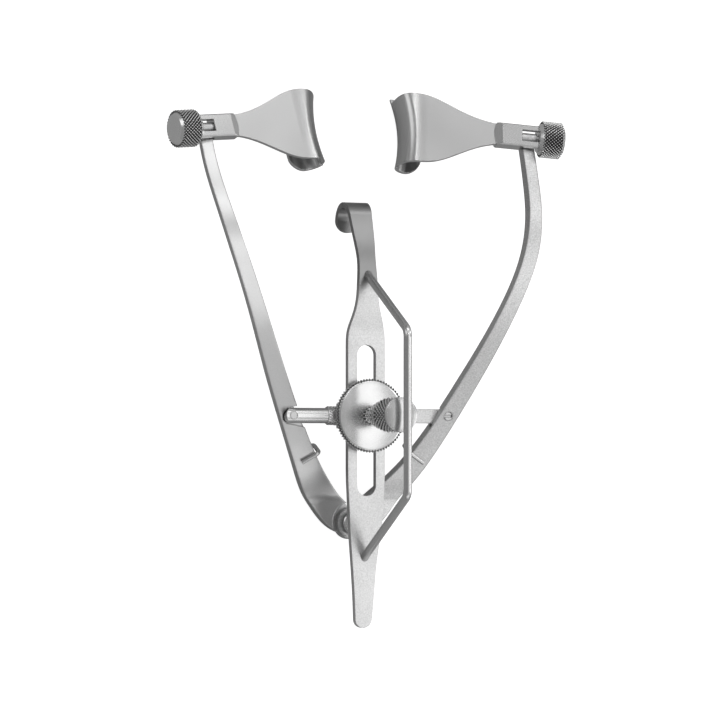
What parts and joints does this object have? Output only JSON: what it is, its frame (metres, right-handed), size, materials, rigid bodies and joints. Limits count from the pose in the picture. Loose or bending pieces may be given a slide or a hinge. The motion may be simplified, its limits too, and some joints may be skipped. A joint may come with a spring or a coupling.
{
  "type": "eye speculum",
  "caption": "Adjustable eye speculum: two arched arms on a lap pivot carry solid lid blades, with a locking crossbar, a sliding canthus hook and a wire guard bow.",
  "frame": {"origin": "on the pivot axis, in the flat back of the cap nut that the pivot end rests on", "axes": "+Y from the pivot towards the blades, +Z from the table to the knobs, +X towards the right arm"},
  "size_m": [0.0652, 0.0824, 0.0269],
  "materials": {
    "satin_steel": "satin stainless steel",
    "polished_steel": "polished stainless steel",
    "blasted_steel": "bead-blasted stainless steel"
  },
  "bodies": {
    "left_arm": {"left_arm": "satin_steel", "pivot_screw": "satin_steel", "pivot_nut": "satin_steel", "rod_pin": "satin_steel", "left_suture_clip": "polished_steel"},
    "right_arm": {"right_arm": "satin_steel", "slide_bar_screw": "satin_steel", "right_suture_clip": "polished_steel"},
    "crossbar": {"crossbar_rod": "satin_steel", "rod_collar": "satin_steel", "crossbar_housing": "satin_steel", "clamp_post": "satin_steel"},
    "slide_bar": {"slide_bar": "satin_steel"},
    "lock_wheel": {"lock_wheel": "polished_steel", "bar_washer": "satin_steel"},
    "clamp_knob": {"clamp_knob": "polished_steel", "clamp_screw": "satin_steel"},
    "hook_bar": {"hook_bar": "blasted_steel", "guard_bow": "polished_steel"},
    "left_blade": {"left_blade": "polished_steel", "left_blade_block": "polished_steel"},
    "right_blade": {"right_blade": "polished_steel", "right_blade_block": "polished_steel"},
    "left_blade_knob": {"left_blade_knob": "polished_steel", "left_blade_screw": "polished_steel"},
    "right_blade_knob": {"right_blade_knob": "polished_steel", "right_blade_screw": "polished_steel"}
  },
  "joints": [
    {"name": "arms_spread", "type": "hinge", "parent": "left_arm", "child": "right_arm", "pos_m": [0, 0, 0.0017], "axis": [0, 0, -1], "range_deg": [-11, 14]},
    {"name": "crossbar_swing", "type": "hinge", "parent": "left_arm", "child": "crossbar", "pos_m": [-0.013, 0.0164, 0.00975], "axis": [0, 0, -1], "range_deg": [-6, 7.5]},
    {"name": "slide_bar_swing", "type": "hinge", "parent": "right_arm", "child": "slide_bar", "pos_m": [0.013, 0.0164, 0.0081], "axis": [0, 0, -1], "range_deg": [-7.5, 6]},
    {"name": "hook_bar_slide", "type": "slide", "parent": "crossbar", "child": "hook_bar", "axis": [0, 1, 0], "range_m": [-0.009, 0.01]},
    {"name": "lock_wheel_turn", "type": "hinge", "parent": "crossbar", "child": "lock_wheel", "pos_m": [-0.00089, 0.0164, 0.01175], "axis": [0, 0, 1], "continuous": true},
    {"name": "clamp_knob_turn", "type": "hinge", "parent": "crossbar", "child": "clamp_knob", "pos_m": [-0.00089, 0.0164, 0.01475], "axis": [0, 0, 1], "continuous": true},
    {"name": "right_blade_swivel", "type": "hinge", "parent": "right_arm", "child": "right_blade", "pos_m": [0.0266, 0.05965, 0.0092], "axis": [-0.9798, 0.0823, -0.1822], "range_deg": [0, 35]},
    {"name": "right_blade_knob_turn", "type": "hinge", "parent": "right_blade", "child": "right_blade_knob", "pos_m": [0.0266, 0.05965, 0.0092], "axis": [0.9798, -0.0823, 0.1822], "continuous": true},
    {"name": "left_blade_swivel", "type": "hinge", "parent": "left_arm", "child": "left_blade", "pos_m": [-0.0266, 0.05965, 0.0092], "axis": [-0.9798, -0.0823, 0.1822], "range_deg": [0, 35]},
    {"name": "left_blade_knob_turn", "type": "hinge", "parent": "left_blade", "child": "left_blade_knob", "pos_m": [-0.0266, 0.05965, 0.0092], "axis": [-0.9798, -0.0823, 0.1822], "continuous": true}
  ],
  "couplings": [
    {"joint": "crossbar_swing", "follows": "arms_spread", "ratio": 0.5},
    {"joint": "slide_bar_swing", "follows": "arms_spread", "ratio": -0.5}
  ]
}
